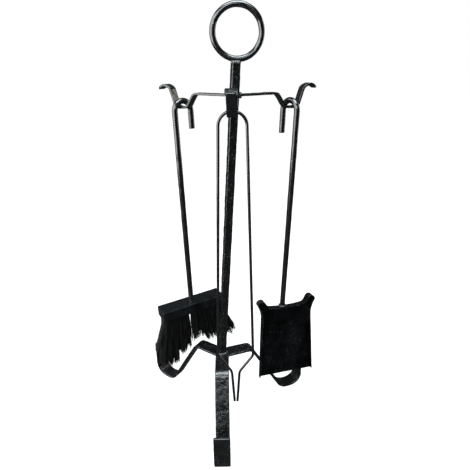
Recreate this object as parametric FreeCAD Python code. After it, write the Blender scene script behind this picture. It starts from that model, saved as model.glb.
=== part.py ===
import FreeCAD, Part
import math
import os

# Fireplace tool set: a leaning square post on three strap legs, with a carrying ring at its
# top and three strap hooks that hold a brush, a shovel and a pair of spring tongs.
# Millimetres, +Z up, feet on z = 0, origin under the middle of the whole set.

V = FreeCAD.Vector
UP = V(0, 0, 1)

# ---- stand ----
post_size = 13.0            # square bar
post_edge = 1.0             # chamfer on its long edges
post_turn = 14.0            # how far the bar is twisted round against the front hook
post_lean = 3.5             # the post leans this far towards +X
hub_height = 603.0          # the level runs of the hooks
ring_height = 691.0         # centre of the carrying ring
ring_radius = 36.5          # to the middle of the bar
ring_bar = 9.0
ring_turn = 4.0
weld_gap = 0.3              # room left between two bars, filled by the weld

front_hook_azimuth = -92.5  # degrees from +X, seen from above
left_hook_azimuth = 149.0
right_hook_azimuth = 21.0
front_leg_azimuth = -90.0
left_leg_azimuth = 145.5
right_leg_azimuth = 18.5

hook_width = 15.0
hook_tip_width = 17.5
hook_thickness = 3.5
hook_shoulder = 73.0        # reach of the nearly level run
hook_shoulder_rise = 1.2
hook_dip_start = 88.0
hook_dip_end = 110.0
hook_dip_depth = 21.0
hook_rise = 120.5           # reach of the knee above the dip
hook_knee = 10.0
hook_crown = 133.0          # reach of the highest point, before the tip droops
hook_crown_rise = 15.0
hook_reach = 143.5
hook_tip_rise = 8.5
hook_tip_corner = 4.0       # corners cut off the tip
hook_bend = 9.0             # bend radius in the middle of the strap

leg_width = 26.0
leg_tip_width = 28.5
leg_thickness = 4.5
leg_top = 119.3             # top face of the level run, which the post stands on
leg_shoulder = 59.0
leg_shoulder_bend = 13.0
leg_reach = 173.0
leg_flat = 5.0             # level stretch that rests on the floor
leg_foot_bend = 24.0        # between the slope and the flat
leg_tip_bend = 25.0         # between the flat and the upturned end
leg_tip_height = 80.0
leg_tip_corner = 1.0

# ---- hung tools ----
rod = 10.0                  # round bar of the brush and shovel handles
crook_radius = 16.5         # to the middle of the bar
hang_gap = 0.3              # between a hung tool and its hook
brush_hang_reach = 100.5    # where along its hook each tool hangs
shovel_hang_reach = 99.0
tongs_hang_reach = 99.0

brush_crook_azimuth = 42.0  # from the rod to the tip of its crook
brush_lean = 1.7
brush_rod_length = 364.0    # crook centre to the top of the block
brush_tip_length = 31.0
block_azimuth = 28.7
block_length = 130.0
block_depth = 33.0
block_height = 20.0
block_edge = 1.2
block_forward = 1.0         # the rod stands this far behind the middle of the block
block_left = 0.7            # and this far to its right
rod_hole_depth = 15.0
rod_hole_gap = 0.05
bristle_inset = 3.0         # bristles start inside the block's outline
bristle_parting = 2.0       # between two groups of bristles
left_bristle_length = 120.0
right_bristle_length = 92.0
middle_bristle_foot = [(-32, 102), (-22, 96), (-10, 79), (0, 70), (19, 65)]  # place, length
left_bristle_share = 29.0   # length of block that each outer group takes
right_bristle_share = 42.0
bristle_splay = 12.0
right_bristle_splay = 36.0
leg_side_slope = 4.0        # the left group draws in from the leg on its way down
bristle_leg_room = 0.5      # bristles are cut off at least this far from the left leg

shovel_crook_azimuth = 125.0
shovel_lean = 2.7
shovel_tip_length = 38.5
pan_azimuth = 15.0
pan_tilt = 11.0             # the mouth swings forward of the handle
pan_right = 5.6             # the pan's middle is this far to the right of the rod
pan_back = 15.5 - leg_width / 2   # from the pan's back to the rod; a wide leg pushes the pan forward
pan_top = 374.0             # crook centre to the middle of the pan's top edge
pan_length = 149.5
pan_mouth_width = 116.0
pan_waist_width = 101.0
pan_ear_span = 120.0
pan_ear_rise = 15.5
pan_ear_crown = 2.0         # top of the rounded ear above its inner corner
pan_knee = 35.0             # the top edge turns up towards each ear this far out
pan_knee_rise = 2.5
pan_waist_drop = 18.5       # waist to the middle of the top edge
pan_sheet = 1.6
pan_side_depth = 15.0
pan_mouth_depth = 7.0
pan_lip_depth = 16.0
pan_ear_width = 11.0
weld_collar = 3.0           # width and height of the weld round the rod's foot

tongs_rod = 4.6
tongs_bow_radius = 19.8
tongs_bow_split = 0.5       # flexing gap where each arm starts
tongs_kink_height = 189.5
tongs_kink_half = 29.8
tongs_throat_height = 155.0
tongs_throat_half = 6.6
tongs_tip_height = 89.5
tongs_jaw_gap = 0.4
tongs_kink_bend = 12.0
tongs_throat_bend = 20.0


def azimuth(degrees):
    angle = math.radians(degrees)
    return V(math.cos(angle), math.sin(angle), 0)


def bent_edges(points, radii):
    """Straight runs through the points, with an arc of the given radius at each inner one."""
    edges = []
    start = points[0]
    for before, corner, after, radius in zip(points, points[1:], points[2:], radii):
        back = (before - corner).normalize()
        ahead = (after - corner).normalize()
        half_turn = (math.pi - back.getAngle(ahead)) / 2
        reach = radius * math.tan(half_turn)
        first = corner + back * reach
        last = corner + ahead * reach
        inward = (back + ahead).normalize()
        middle = corner + inward * (radius / math.cos(half_turn) - radius)
        edges.append(Part.LineSegment(start, first).toShape())
        edges.append(Part.Arc(first, middle, last).toShape())
        start = last
    edges.append(Part.LineSegment(start, points[-1]).toShape())
    return edges


def offset_points(points, distance):
    """The same open outline in the XZ plane, moved sideways to its left by the distance."""
    moved = []
    for index, point in enumerate(points):
        runs = []
        if index > 0:
            runs.append((point - points[index - 1]).normalize())
        if index < len(points) - 1:
            runs.append((points[index + 1] - point).normalize())
        sides = [V(-run.z, 0, run.x) for run in runs]
        mitre = sides[0] + sides[-1]
        mitre.normalize()
        moved.append(point + mitre * (distance / mitre.dot(sides[0])))
    return moved


def strap(points, radii, thickness, width, tip_width, flare_start, reach, tip_corner):
    """A flat bar bent in the XZ plane, flared from flare_start to its reach, its tip corners cut."""
    turns = []
    for before, corner, after in zip(points, points[1:], points[2:]):
        run = corner - before
        turn = after - corner
        turns.append(1 if run.x * turn.z - run.z * turn.x > 0 else -1)
    sides = []
    for side in (0.5, -0.5):
        line = offset_points(points, side * thickness)
        side_radii = [radius - turn * side * thickness for radius, turn in zip(radii, turns)]
        sides.append(bent_edges(line, side_radii))
    ends = []
    for end in (0, -1):
        ends.append(Part.LineSegment(sides[0][end].Vertexes[end].Point,
                                     sides[1][end].Vertexes[end].Point).toShape())
    profile = Part.Wire(Part.__sortEdges__(sides[0] + sides[1] + ends))
    bar = Part.Face(profile).extrude(V(0, tip_width * 2, 0))
    bar.translate(V(0, -tip_width, 0))
    half = width / 2
    tip_half = tip_width / 2
    low = -500
    edge = [V(-5, half, low), V(flare_start, half, low), V(reach - tip_corner, tip_half, low),
            V(reach, tip_half - tip_corner, low)]
    plan = edge + [V(point.x, -point.y, low) for point in reversed(edge)]
    plan_face = Part.Face(Part.makePolygon(plan + plan[:1]))
    bar = bar.common(plan_face.extrude(V(0, 0, 1000)))
    return bar.Solids[0]


def round_bar(points, radii, diameter):
    path = Part.Wire(bent_edges(points, radii))
    direction = points[1] - points[0]
    ring = Part.Wire(Part.makeCircle(diameter / 2, points[0], direction))
    return path.makePipeShell([ring], True, False)


def turned(shape, centre, axis, degrees):
    copy = shape.copy()
    copy.rotate(centre, axis, degrees)
    return copy


def moved(shape, offset):
    copy = shape.copy()
    copy.translate(offset)
    return copy


# ---- the post, its ring and their weld ----
post_foot = V(0, 0, leg_top)
lean_axis = V(0, 1, 0)


def leaning(shape):
    return turned(shape, post_foot, lean_axis, post_lean)


def on_post(height):
    return post_foot + V(math.tan(math.radians(post_lean)), 0, 1) * (height - leg_top)


def make_post():
    slope = math.cos(math.radians(post_lean))
    top = (ring_height - leg_top) / slope - ring_radius - ring_bar / 2 - weld_gap
    below = post_size
    bar = Part.makeBox(post_size, post_size, top + below,
                       V(-post_size / 2, -post_size / 2, leg_top - below))
    bar = bar.makeChamfer(post_edge, [edge for edge in bar.Edges if edge.tangentAt(0).z ** 2 > 0.5])
    bar = leaning(turned(bar, post_foot, UP, post_turn))
    floor_cut = Part.makeBox(200, 200, leg_top, V(-100, -100, 0))
    return bar.cut(floor_cut).Solids[0]


def make_ring():
    centre = on_post(ring_height)
    ring = Part.makeTorus(ring_radius, ring_bar / 2, centre, V(0, 1, 0))
    ring = turned(ring, centre, UP, ring_turn)
    return turned(ring, centre, lean_axis, post_lean)


def make_ring_weld(post, ring):
    distance = ring_radius + ring_bar / 2
    joint = on_post(ring_height - distance * math.cos(math.radians(post_lean)))
    bead_ball = Part.makeSphere(post_size * 0.62, V(0, 0, 0))
    squash = FreeCAD.Matrix()
    squash.scale(1.0, 0.85, 0.55)
    bead_ball = bead_ball.transformGeometry(squash)
    bead_ball.translate(joint)
    return bead_ball.cut(post).cut(ring).Solids[0]


# ---- hooks ----
strap_root = post_size * math.sqrt(0.5) + weld_gap
hook_points = [V(strap_root, 0, 0), V(hook_shoulder, 0, hook_shoulder_rise),
               V(hook_dip_start, 0, -hook_dip_depth), V(hook_dip_end, 0, -hook_dip_depth),
               V(hook_rise, 0, hook_knee), V(hook_crown, 0, hook_crown_rise),
               V(hook_reach, 0, hook_tip_rise)]
hook_flare_start = hook_rise - hook_thickness


def make_hook(degrees):
    bar = strap(hook_points, [hook_bend] * 5, hook_thickness, hook_width, hook_tip_width,
                hook_flare_start, hook_reach + hook_thickness / 4, hook_tip_corner)
    return moved(turned(bar, V(0, 0, 0), UP, degrees), on_post(hub_height))


def make_hook_weld(degrees, post, hook):
    height = hook_thickness * 2.2
    bead_bar = Part.makeCylinder(height / 2, hook_width * 0.72,
                                 V(strap_root - height * 0.1, -hook_width * 0.36, -hook_thickness * 0.4),
                                 V(0, 1, 0))
    bead_bar = bead_bar.makeFillet(height * 0.3, [edge for edge in bead_bar.Edges if edge.Closed])
    bead_bar = moved(turned(bead_bar, V(0, 0, 0), UP, degrees), on_post(hub_height))
    return bead_bar.cut(post).cut(hook).Solids[0]


def hook_seat(degrees, reach):
    """A point on the top face of the dip."""
    return on_post(hub_height) + azimuth(degrees) * reach + UP * (hook_thickness / 2 - hook_dip_depth)


# ---- legs ----
def foot_corner():
    """Reach of the corner between slope and floor that leaves the flat its length."""
    flat_start = leg_reach - leg_thickness / 2 - leg_tip_bend - leg_flat
    corner = flat_start
    for _ in range(30):
        slope = math.atan2(leg_top - leg_thickness, corner - leg_shoulder)
        corner = flat_start - leg_foot_bend * math.tan(slope / 2)
    return corner


leg_middle = leg_top - leg_thickness / 2
leg_points = [V(0, 0, leg_middle), V(leg_shoulder, 0, leg_middle),
              V(foot_corner(), 0, leg_thickness / 2),
              V(leg_reach - leg_thickness / 2, 0, leg_thickness / 2),
              V(leg_reach - leg_thickness / 2, 0, leg_tip_height)]
leg_azimuths = [left_leg_azimuth, front_leg_azimuth + 360, right_leg_azimuth + 360]


def leg_strap(degrees, room):
    """The whole strap of one leg, grown by room on every side."""
    bar = strap(leg_points, [leg_shoulder_bend, leg_foot_bend, leg_tip_bend],
                leg_thickness + room * 2, leg_width + room * 2, leg_tip_width + room * 2,
                leg_reach - leg_tip_bend, leg_reach, leg_tip_corner)
    return turned(bar, V(0, 0, 0), UP, degrees)


def make_leg(index):
    """One leg, mitred against its two neighbours under the post."""
    degrees = leg_azimuths[index]
    before = leg_azimuths[index - 1]
    after = leg_azimuths[(index + 1) % 3]
    if before > degrees:
        before -= 360
    if after < degrees:
        after += 360
    bar = leg_strap(degrees, 0)
    far = leg_reach * 4
    sector = [V(0, 0, 0), azimuth((before + degrees) / 2) * far, azimuth(degrees) * far,
              azimuth((after + degrees) / 2) * far]
    wedge = Part.Face(Part.makePolygon(sector + sector[:1])).extrude(V(0, 0, leg_top * 2))
    return bar.common(wedge).Solids[0]


def make_leg_weld(post):
    foot = post_size / 2 + 4
    collar = Part.makeCone(foot * 1.25, post_size / 2, 5.0, post_foot, UP)
    return collar.cut(post).Solids[0]


# ---- brush and shovel handles: rod down the local -X side, crook over local +X ----
def hung_centre(hook_azimuth, reach, bend_azimuth, radius, diameter):
    """Centre of a round bend whose inside rests on the two upper edges of a hook."""
    inner = radius - diameter / 2
    across = abs(math.sin(math.radians(bend_azimuth - hook_azimuth)))
    half = hook_width / 2 / across + hang_gap
    sag = math.sqrt(inner ** 2 - half ** 2)
    return hook_seat(hook_azimuth, reach) + UP * (hang_gap - sag)


def make_handle(length, tip_length):
    foot = V(-crook_radius, 0, -length)
    down = Part.LineSegment(foot, V(-crook_radius, 0, 0)).toShape()
    over = Part.Arc(V(-crook_radius, 0, 0), V(0, 0, crook_radius), V(crook_radius, 0, 0)).toShape()
    tail = Part.LineSegment(V(crook_radius, 0, 0), V(crook_radius, 0, -tip_length)).toShape()
    path = Part.Wire([down, over, tail])
    end = Part.Wire(Part.makeCircle(rod / 2, foot, UP))
    return path.makePipeShell([end], True, False)


def hang(shape, lean, crook_azimuth, hook_azimuth, reach):
    placed = turned(shape, V(0, 0, 0), V(0, 1, 0), -lean)
    placed = turned(placed, V(0, 0, 0), UP, crook_azimuth)
    return moved(placed, hung_centre(hook_azimuth, reach, crook_azimuth, crook_radius, rod))


# ---- brush head, in a frame with X along the block and -Y to its front ----
def place_head(shape):
    placed = moved(shape, V(-block_left, -block_forward, -brush_rod_length))
    placed = turned(placed, V(0, 0, 0), UP, block_azimuth - brush_crook_azimuth)
    return moved(placed, V(-crook_radius, 0, 0))


def make_block():
    block = Part.makeBox(block_length, block_depth, block_height,
                         V(-block_length / 2, -block_depth / 2, -block_height))
    block = block.makeChamfer(block_edge, block.Edges)
    hole = Part.makeCylinder(rod / 2 + rod_hole_gap, rod_hole_depth + 1,
                             V(block_left, block_forward, -rod_hole_depth), UP)
    return block.cut(hole)


def make_bristles(start, end, low_start, low_end, length):
    half = block_depth / 2 - bristle_inset
    low_half = half + 2
    top = [V(start, -half, -block_height), V(end, -half, -block_height),
           V(end, half, -block_height), V(start, half, -block_height)]
    depth = -block_height - length
    bottom = [V(low_start, -low_half, depth), V(low_end, -low_half, depth),
              V(low_end, half, depth), V(low_start, half, depth)]
    wires = [Part.makePolygon(outline + outline[:1]) for outline in (top, bottom)]
    return Part.makeLoft(wires, True, True)


def make_middle_bristles():
    """The group above the left leg, whose foot follows the leg's slope."""
    half = block_depth / 2 - bristle_inset
    foot = [V(place, -half, -block_height - length) for place, length in middle_bristle_foot]
    top = [V(foot[-1].x, -half, -block_height), V(foot[0].x, -half, -block_height)]
    outline = foot + top
    return Part.Face(Part.makePolygon(outline + outline[:1])).extrude(V(0, half * 2, 0))


# ---- shovel pan, in a frame with X across it, -Y to its open side, its top edge at z = 0 ----
def place_pan(shape):
    placed = turned(shape, V(0, 0, 0), V(1, 0, 0), -pan_tilt)
    placed = moved(placed, V(pan_right, pan_back, -pan_top))
    placed = turned(placed, V(0, 0, 0), UP, pan_azimuth - shovel_crook_azimuth)
    return moved(placed, V(-crook_radius, 0, 0))


def make_pan():
    """Floor with two ears, a side wall along each edge, and a lip that follows the top edge."""
    mouth = pan_mouth_width / 2
    waist = pan_waist_width / 2
    ear = pan_ear_span / 2
    waist_z = -pan_waist_drop
    ear_in = V(ear - pan_ear_width, 0, pan_ear_rise)
    ear_out = V(ear, 0, pan_ear_rise - pan_ear_width * 0.5)

    def mirror(point):
        return V(-point.x, point.y, point.z)

    def line(first, last):
        return Part.LineSegment(first, last).toShape()

    mouth_right = V(mouth, 0, -pan_length)
    waist_right = V(waist, 0, waist_z)
    ear_crown = V(ear - pan_ear_width * 0.35, 0, pan_ear_rise + pan_ear_crown)
    flank = V((ear + waist) / 2 - 2, 0, waist_z * 0.2)
    knee = V(pan_knee, 0, pan_knee_rise)
    turn_up = V((pan_knee + ear_in.x) / 2 + 1.5, 0, pan_ear_rise * 0.4)
    outline = Part.Wire([
        line(mirror(mouth_right), mouth_right),
        line(mouth_right, waist_right),
        Part.Arc(waist_right, flank, ear_out).toShape(),
        Part.Arc(ear_out, ear_crown, ear_in).toShape(),
        Part.Arc(ear_in, turn_up, knee).toShape(),
        Part.Arc(knee, V(0, 0, 0), mirror(knee)).toShape(),
        Part.Arc(mirror(knee), mirror(turn_up), mirror(ear_in)).toShape(),
        Part.Arc(mirror(ear_in), mirror(ear_crown), mirror(ear_out)).toShape(),
        Part.Arc(mirror(ear_out), mirror(flank), mirror(waist_right)).toShape(),
        line(mirror(waist_right), mirror(mouth_right)),
    ])
    plate = Part.Face(outline)
    floor = plate.extrude(V(0, -pan_sheet, 0))
    depth = pan_side_depth
    full = plate.extrude(V(0, -depth, 0))
    inner = plate.makeOffset2D(-pan_sheet)
    inner = moved(inner.extrude(V(0, -depth, 0)), V(0, -pan_sheet, 0))
    wide = pan_ear_span
    mouth_cut = Part.makeBox(wide * 2, depth * 2, pan_sheet * 4,
                             V(-wide, -depth * 1.5 - pan_sheet, -pan_length - pan_sheet * 2))
    slope = [V(-wide, -pan_mouth_depth, -pan_length - 1), V(-wide, -pan_side_depth, waist_z),
             V(-wide, -pan_lip_depth, pan_ear_rise + 10), V(-wide, -depth * 3, pan_ear_rise + 10),
             V(-wide, -depth * 3, -pan_length - 1)]
    trim = Part.Face(Part.makePolygon(slope + slope[:1])).extrude(V(wide * 2, 0, 0))
    walls = full.cut(inner).cut(mouth_cut).cut(trim)
    return floor.fuse(walls).removeSplitter().Solids[0]


def make_pan_weld(handle, pan):
    """A collar of weld where the rod stands on the lip."""
    foot = V(-crook_radius, 0, -pan_top - pan_sheet)
    collar = Part.makeCone(rod / 2 + weld_collar, rod / 2, pan_sheet + weld_collar * 2, foot, UP)
    around = collar.cut(handle).cut(pan)
    return max(around.Solids, key=lambda solid: solid.Volume)


# ---- tongs, in the plane across the front hook's dip ----
def tongs_points(side):
    jaw = tongs_rod / 2 + tongs_jaw_gap / 2
    return [V(side * tongs_bow_radius, 0, tongs_shoulder), V(side * tongs_kink_half, 0, tongs_kink_height),
            V(side * tongs_throat_half, 0, tongs_throat_height), V(side * jaw, 0, tongs_tip_height)]


def make_bow():
    top = V(0, 0, tongs_shoulder + tongs_bow_radius)
    half_bow = Part.Arc(V(-tongs_bow_radius, 0, tongs_shoulder), top,
                        V(tongs_bow_radius, 0, tongs_shoulder)).toShape()
    end = Part.Wire(Part.makeCircle(tongs_rod / 2, V(-tongs_bow_radius, 0, tongs_shoulder), UP))
    return Part.Wire([half_bow]).makePipeShell([end], True, False)


def make_arm(side):
    points = tongs_points(side)
    points[0] = points[0] - UP * tongs_bow_split
    return round_bar(points, [tongs_kink_bend, tongs_throat_bend], tongs_rod)


tongs_azimuth = front_hook_azimuth + 90
tongs_seat = hung_centre(front_hook_azimuth, tongs_hang_reach, tongs_azimuth, tongs_bow_radius,
                         tongs_rod)
tongs_shoulder = tongs_seat.z


def place_tongs(shape):
    return moved(turned(shape, V(0, 0, 0), UP, tongs_azimuth), V(tongs_seat.x, tongs_seat.y, 0))


# ---- assembly ----
nodes = {}
nodes["post"] = make_post()
nodes["carry_ring"] = make_ring()
nodes["ring_weld"] = make_ring_weld(nodes["post"], nodes["carry_ring"])

hook_azimuths = {"front_hook": front_hook_azimuth, "left_hook": left_hook_azimuth,
                 "right_hook": right_hook_azimuth}
hook_welds = []
for name, degrees in hook_azimuths.items():
    nodes[name] = make_hook(degrees)
    hook_welds.append(make_hook_weld(degrees, nodes["post"], nodes[name]))
nodes["hook_welds"] = Part.makeCompound(hook_welds)

for index, name in enumerate(("left_leg", "front_leg", "right_leg")):
    nodes[name] = make_leg(index)
nodes["leg_weld"] = make_leg_weld(nodes["post"])

brush_handle = make_handle(brush_rod_length + rod_hole_depth - rod_hole_gap, brush_tip_length)
half_block = block_length / 2 - bristle_inset
left_edge = -half_block + left_bristle_share
right_edge = half_block - right_bristle_share
half_parting = bristle_parting / 2
brush_parts = {
    "brush_handle": brush_handle,
    "brush_block": place_head(make_block()),
    "bristles_left": place_head(make_bristles(
        -half_block, left_edge - half_parting, -half_block - bristle_splay,
        left_edge - half_parting - leg_side_slope, left_bristle_length)),
    "bristles_middle": place_head(make_middle_bristles()),
    "bristles_right": place_head(make_bristles(
        right_edge + half_parting, half_block, right_edge + half_parting + leg_side_slope,
        half_block + right_bristle_splay, right_bristle_length)),
}
for name, shape in brush_parts.items():
    nodes[name] = hang(shape, brush_lean, brush_crook_azimuth, left_hook_azimuth,
                       brush_hang_reach)
kept_clear = leg_strap(left_leg_azimuth, bristle_leg_room)
for name in ("bristles_left", "bristles_middle"):
    trimmed = nodes[name].cut(kept_clear)
    nodes[name] = max(trimmed.Solids, key=lambda solid: solid.Volume)

shovel_pan = place_pan(make_pan())
long_handle = make_handle(pan_top + pan_lip_depth, shovel_tip_length).cut(shovel_pan)
shovel_handle = max(long_handle.Solids, key=lambda solid: solid.Volume)
shovel_parts = {
    "shovel_handle": shovel_handle,
    "shovel_pan": shovel_pan,
    "pan_welds": make_pan_weld(shovel_handle, shovel_pan),
}
for name, shape in shovel_parts.items():
    nodes[name] = hang(shape, shovel_lean, shovel_crook_azimuth, right_hook_azimuth,
                       shovel_hang_reach)

nodes["tongs_bow"] = place_tongs(make_bow())
nodes["tongs_left_arm"] = place_tongs(make_arm(-1))
nodes["tongs_right_arm"] = place_tongs(make_arm(1))

whole = FreeCAD.BoundBox()
for shape in nodes.values():
    whole.add(shape.BoundBox)
to_origin = V(-whole.Center.x, -whole.Center.y, 0)

os.makedirs("parts", exist_ok=True)
for name, shape in nodes.items():
    moved(shape, to_origin).exportStep("parts/" + name + ".step")
    print(name, "solids", len(shape.Solids), "volume", round(shape.Volume), "valid", shape.isValid())

print("moved to the origin by", to_origin, "box", whole.XLength, whole.YLength, whole.ZLength)
for name, side in (("left", -1), ("right", 1)):
    shoulder = place_tongs(Part.Vertex(V(side * tongs_bow_radius, 0, tongs_shoulder))).Point
    print("tongs", name, "shoulder", shoulder + to_origin)
outer_corner = leg_reach - leg_thickness / 2 - leg_tip_bend
print("foot face", azimuth(front_leg_azimuth) * (outer_corner - leg_flat / 2) + to_origin)
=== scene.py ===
import math
import random

import bmesh
import bpy
from mathutils import Matrix, Vector


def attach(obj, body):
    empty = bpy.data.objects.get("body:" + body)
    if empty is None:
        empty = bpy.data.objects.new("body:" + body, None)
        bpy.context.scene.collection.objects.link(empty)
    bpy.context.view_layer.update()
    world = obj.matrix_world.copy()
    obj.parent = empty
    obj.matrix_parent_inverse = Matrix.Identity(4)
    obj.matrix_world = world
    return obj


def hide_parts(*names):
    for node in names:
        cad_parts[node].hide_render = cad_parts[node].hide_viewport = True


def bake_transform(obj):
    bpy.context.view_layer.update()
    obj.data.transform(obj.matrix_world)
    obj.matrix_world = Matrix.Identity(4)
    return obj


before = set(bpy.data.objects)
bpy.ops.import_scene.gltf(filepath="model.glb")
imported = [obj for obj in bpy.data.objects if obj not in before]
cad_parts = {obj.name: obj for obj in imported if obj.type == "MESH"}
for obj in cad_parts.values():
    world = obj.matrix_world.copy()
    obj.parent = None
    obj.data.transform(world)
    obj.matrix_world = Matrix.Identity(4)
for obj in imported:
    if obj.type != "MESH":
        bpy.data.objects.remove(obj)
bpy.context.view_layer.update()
mm = 0.001
upward = Vector((0, 0, 1))
print("frame loaded:", len(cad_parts), "nodes")


# small tools used by every piece
def deselectAll():
    if bpy.context.object and bpy.context.object.mode != "OBJECT":
        bpy.ops.object.mode_set(mode="OBJECT")
    bpy.ops.object.select_all(action="DESELECT")


def workOn(piece):
    deselectAll()
    piece.select_set(True)
    bpy.context.view_layer.objects.active = piece


def openEdit(piece, kind="VERT"):
    workOn(piece)
    bpy.ops.object.mode_set(mode="EDIT")
    bpy.ops.mesh.select_mode(type=kind)


def closeEdit():
    bpy.ops.object.mode_set(mode="OBJECT")


def pick(piece, kind, test):
    # selects the verts, edges or faces that pass the test, with the piece open in edit mode
    mesh = bmesh.from_edit_mesh(piece.data)
    bpy.ops.mesh.select_all(action="DESELECT")
    for part in getattr(mesh, kind):
        if test(part):
            part.select_set(True)
    mesh.select_flush_mode()
    bmesh.update_edit_mesh(piece.data)


def addModifier(piece, kind, **settings):
    workOn(piece)
    modifier = piece.modifiers.new(kind.title(), kind)
    for key, value in settings.items():
        setattr(modifier, key, value)
    bpy.ops.object.modifier_apply(modifier=modifier.name)


def applyPlace(piece, matrix=None):
    workOn(piece)
    if matrix is not None:
        piece.matrix_world = matrix @ piece.matrix_world
    bpy.ops.object.transform_apply(location=True, rotation=True, scale=True)


def tidyMesh(piece, smoothAngle=40):
    openEdit(piece)
    bpy.ops.mesh.select_all(action="SELECT")
    bpy.ops.mesh.remove_doubles(threshold=0.00001)
    bpy.ops.mesh.normals_make_consistent(inside=False)
    closeEdit()
    workOn(piece)
    bpy.ops.object.shade_smooth_by_angle(angle=math.radians(smoothAngle))


def joinPieces(pieces, name):
    deselectAll()
    for piece in pieces:
        piece.select_set(True)
    bpy.context.view_layer.objects.active = pieces[0]
    if len(pieces) > 1:
        bpy.ops.object.join()
    pieces[0].name = name
    return pieces[0]


def setPiece(piece, name, material, body, nodes):
    piece.name = name
    piece.data.name = name
    piece.data.materials.clear()
    piece.data.materials.append(material)
    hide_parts(*nodes)
    if body:
        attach(piece, body)
    return piece


def turnAbout(degrees, axis):
    return Matrix.Rotation(math.radians(degrees), 4, axis)


def shift(x, y, z):
    return Matrix.Translation((x * mm, y * mm, z * mm))


def heading(degrees):
    return Vector((math.cos(math.radians(degrees)), math.sin(math.radians(degrees)), 0))


# bars: a section drawn along straight runs and round bends
def drawAlong(points, radii, step, arcStep):
    # the bar's end section is selected in edit mode, at the first point
    at = points[0]
    for before, corner, after, radius in zip(points, points[1:], points[2:], radii):
        way = (corner - before).normalized()
        onward = (after - corner).normalized()
        turn = way.angle(onward)
        reach = radius * math.tan(turn / 2)
        runOn(corner - way * reach - at, step)
        at = corner - way * reach
        if radius > 0:
            side = (onward - way * onward.dot(way)).normalized()
            steps = max(2, round(turn * radius / arcStep))
            bpy.ops.mesh.spin(steps=steps, angle=-turn, center=at + side * radius,
                              axis=way.cross(onward).normalized())
            at = corner + onward * reach
    runOn(points[-1] - at, step)


def runOn(run, step):
    if run.length < 0.00002:
        return
    count = max(1, round(run.length / step))
    for _ in range(count):
        bpy.ops.mesh.extrude_region_move(TRANSFORM_OT_translate={"value": run / count})


def roundBar(name, points, radii, diameter, sides=16, step=0.004, arcStep=0.0015):
    way = (points[1] - points[0]).normalized()
    deselectAll()
    bpy.ops.mesh.primitive_circle_add(vertices=sides, radius=diameter / 2, fill_type="NGON",
                                      location=points[0], rotation=way.to_track_quat("Z", "Y").to_euler())
    bar = bpy.context.object
    bar.name = name
    applyPlace(bar)
    openEdit(bar, "FACE")
    bpy.ops.mesh.select_all(action="SELECT")
    drawAlong(points, radii, step, arcStep)
    closeEdit()
    return bar


def flatBar(name, points, radii, width, thickness, cells, step=0.0024, arcStep=0.002):
    # drawn in the XZ plane from the first point towards +X, with its width along Y
    deselectAll()
    bpy.ops.mesh.primitive_grid_add(x_subdivisions=cells[1], y_subdivisions=cells[0], size=1,
                                    location=points[0], rotation=(0, math.pi / 2, 0))
    bar = bpy.context.object
    bar.name = name
    bar.scale = (thickness, width, 1)
    applyPlace(bar)
    openEdit(bar, "FACE")
    bpy.ops.mesh.select_all(action="SELECT")
    drawAlong(points, radii, step, arcStep)
    closeEdit()
    return bar


def flareTip(bar, start, end, ratio):
    # the bar gets wider towards its tip
    for vertex in bar.data.vertices:
        share = min(1, max(0, (vertex.co.x - start) / (end - start)))
        vertex.co.y *= 1 + (ratio - 1) * share


def roundTip(bar, end, size, draw):
    # draws the corners of the tip in to a round end
    widest = max(vertex.co.y for vertex in bar.data.vertices)
    for vertex in bar.data.vertices:
        past = max(0, vertex.co.x - (end - size)) / size
        vertex.co.y *= 1 - draw * past ** 2 * abs(vertex.co.y) / widest


def easeEdges(piece, width, angle=50):
    addModifier(piece, "BEVEL", width=width * mm, segments=2, limit_method="ANGLE",
                angle_limit=math.radians(angle))


def uneven(piece, texture, depth, level=0.5, **settings):
    addModifier(piece, "DISPLACE", texture=texture, texture_coords="LOCAL", strength=depth * mm,
                mid_level=level, **settings)


def forge(piece, texture, form):
    # rounds the arrises, then beats the surface a little uneven
    addModifier(piece, "SUBSURF", levels=1, render_levels=1)
    uneven(piece, texture, form["dents"], 0.35)
    uneven(piece, forgeWaves, form["waves"])


def makeTexture(name, kind, size):
    texture = bpy.data.textures.new(name, kind)
    texture.noise_scale = size
    return texture


hammerDents = makeTexture("hammerDents", "VORONOI", 0.0085)
forgeWaves = makeTexture("forgeWaves", "CLOUDS", 0.03)
barWaves = makeTexture("barWaves", "CLOUDS", 0.012)


# finishes
def addNode(tree, kind, values=None, **settings):
    made = tree.nodes.new(kind)
    for key, value in settings.items():
        setattr(made, key, value)
    for socket, value in (values or {}).items():
        made.inputs[socket].default_value = value
    return made


def rampNode(tree, source, low, high):
    # 0 below low, 1 above high
    ramp = addNode(tree, "ShaderNodeMapRange", {"From Min": low, "From Max": high}, clamp=True)
    tree.links.new(source, ramp.inputs["Value"])
    return ramp.outputs["Result"]


def mixColours(tree, factor, first, second):
    mix = addNode(tree, "ShaderNodeMix", data_type="RGBA")
    for socket, value in (("A", first), ("B", second)):
        target = [entry for entry in mix.inputs if entry.name == socket and entry.type == "RGBA"][0]
        if isinstance(value, tuple):
            target.default_value = value + (1,)
        else:
            tree.links.new(value, target)
    tree.links.new(factor, mix.inputs["Factor"])
    return [entry for entry in mix.outputs if entry.type == "RGBA"][0]


def mixValues(tree, factor, first, second):
    mix = addNode(tree, "ShaderNodeMix", data_type="FLOAT")
    for socket, value in (("A", first), ("B", second)):
        target = [entry for entry in mix.inputs if entry.name == socket and entry.type == "VALUE"][0]
        if isinstance(value, (int, float)):
            target.default_value = value
        else:
            tree.links.new(value, target)
    tree.links.new(factor, mix.inputs["Factor"])
    return [entry for entry in mix.outputs if entry.type == "VALUE"][0]


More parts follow.
